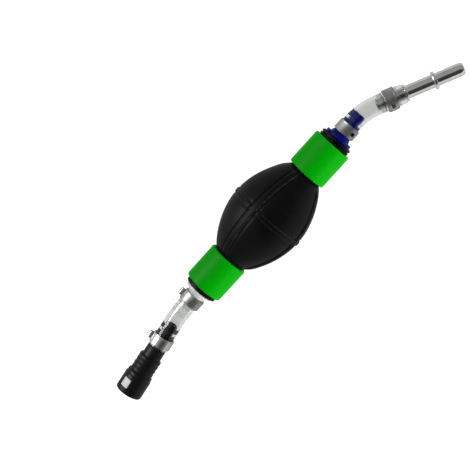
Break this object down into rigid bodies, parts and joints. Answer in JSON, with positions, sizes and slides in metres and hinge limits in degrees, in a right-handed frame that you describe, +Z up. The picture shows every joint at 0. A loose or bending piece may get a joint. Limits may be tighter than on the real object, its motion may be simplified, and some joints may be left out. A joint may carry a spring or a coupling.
{
  "type": "siphon bulb pump",
  "caption": "Hand siphon pump: a rubber squeeze bulb between two sleeved check valves, with clamped clear hoses, a push-button quick coupler and a beaded pipe spigot.",
  "frame": {"origin": "under the middle of the pump's box, on the surface that the bulb lies on", "axes": "+X along the bulb's axis from the inlet coupler towards the outlet spigot, +Z up from the surface, both ends bend towards -Y"},
  "size_m": [0.3304, 0.0636, 0.0578],
  "materials": {
    "black_rubber": "semi-matt moulded rubber with fine diagonal texture",
    "green_plastic": "satin moulded plastic, bright green",
    "blue_nylon": "satin-gloss moulded nylon, navy blue",
    "white_nylon": "milky translucent moulded nylon",
    "clear_hose": "clear flexible vinyl hose",
    "steel_band": "satin stainless band",
    "polished_steel": "polished steel",
    "black_nylon": "satin moulded nylon, black",
    "grey_latch": "pale grey moulded plastic",
    "valve_acetal": "off-white acetal",
    "seal_rubber": "black sealing rubber",
    "spring_steel": "spring wire"
  },
  "bodies": {
    "pump": {"inlet_sleeve": "green_plastic", "outlet_sleeve": "green_plastic", "inlet_cap": "white_nylon", "outlet_cap": "blue_nylon", "inlet_valve_seat": "valve_acetal", "inlet_valve_cage": "valve_acetal", "inlet_valve_spring": "spring_steel", "outlet_valve_seat": "valve_acetal", "outlet_valve_cage": "valve_acetal", "outlet_valve_spring": "spring_steel", "inlet_hose": "clear_hose", "outlet_hose": "clear_hose", "inlet_cap_clamp": "steel_band", "coupler_clamp": "steel_band", "outlet_cap_clamp": "steel_band", "spigot_clamp": "steel_band", "outlet_spigot": "polished_steel", "coupler_body": "black_nylon", "coupler_nose": "black_nylon", "latch_spring": "spring_steel", "coupler_outer_o_ring": "seal_rubber", "coupler_inner_o_ring": "seal_rubber", "coupler_spacer": "valve_acetal", "coupler_bush": "valve_acetal"},
    "bulb_body": {"squeeze_bulb": "black_rubber"},
    "inlet_valve": {"inlet_valve_poppet": "seal_rubber"},
    "outlet_valve": {"outlet_valve_poppet": "seal_rubber"},
    "latch": {"coupler_latch": "grey_latch"}
  },
  "joints": [
    {"name": "bulb_squeeze", "type": "slide", "parent": "pump", "child": "bulb_body", "axis": [0, 0, -1], "range_m": [0, 0.012], "stiffness_N_per_m": 2500, "deforming": ["squeeze_bulb"]},
    {"name": "inlet_valve_lift", "type": "slide", "parent": "pump", "child": "inlet_valve", "axis": [1, 0, 0], "range_m": [0, 0.002], "stiffness_N_per_m": 60, "springref_m": -0.002, "deforming": ["inlet_valve_spring"]},
    {"name": "outlet_valve_lift", "type": "slide", "parent": "pump", "child": "outlet_valve", "axis": [1, 0, 0], "range_m": [0, 0.002], "stiffness_N_per_m": 60, "springref_m": -0.002, "deforming": ["outlet_valve_spring"]},
    {"name": "latch_press", "type": "slide", "parent": "pump", "child": "latch", "axis": [0.0912, -0.5758, -0.8125], "range_m": [0, 0.0012], "stiffness_N_per_m": 1500, "springref_m": -0.001, "deforming": ["latch_spring"]}
  ]
}
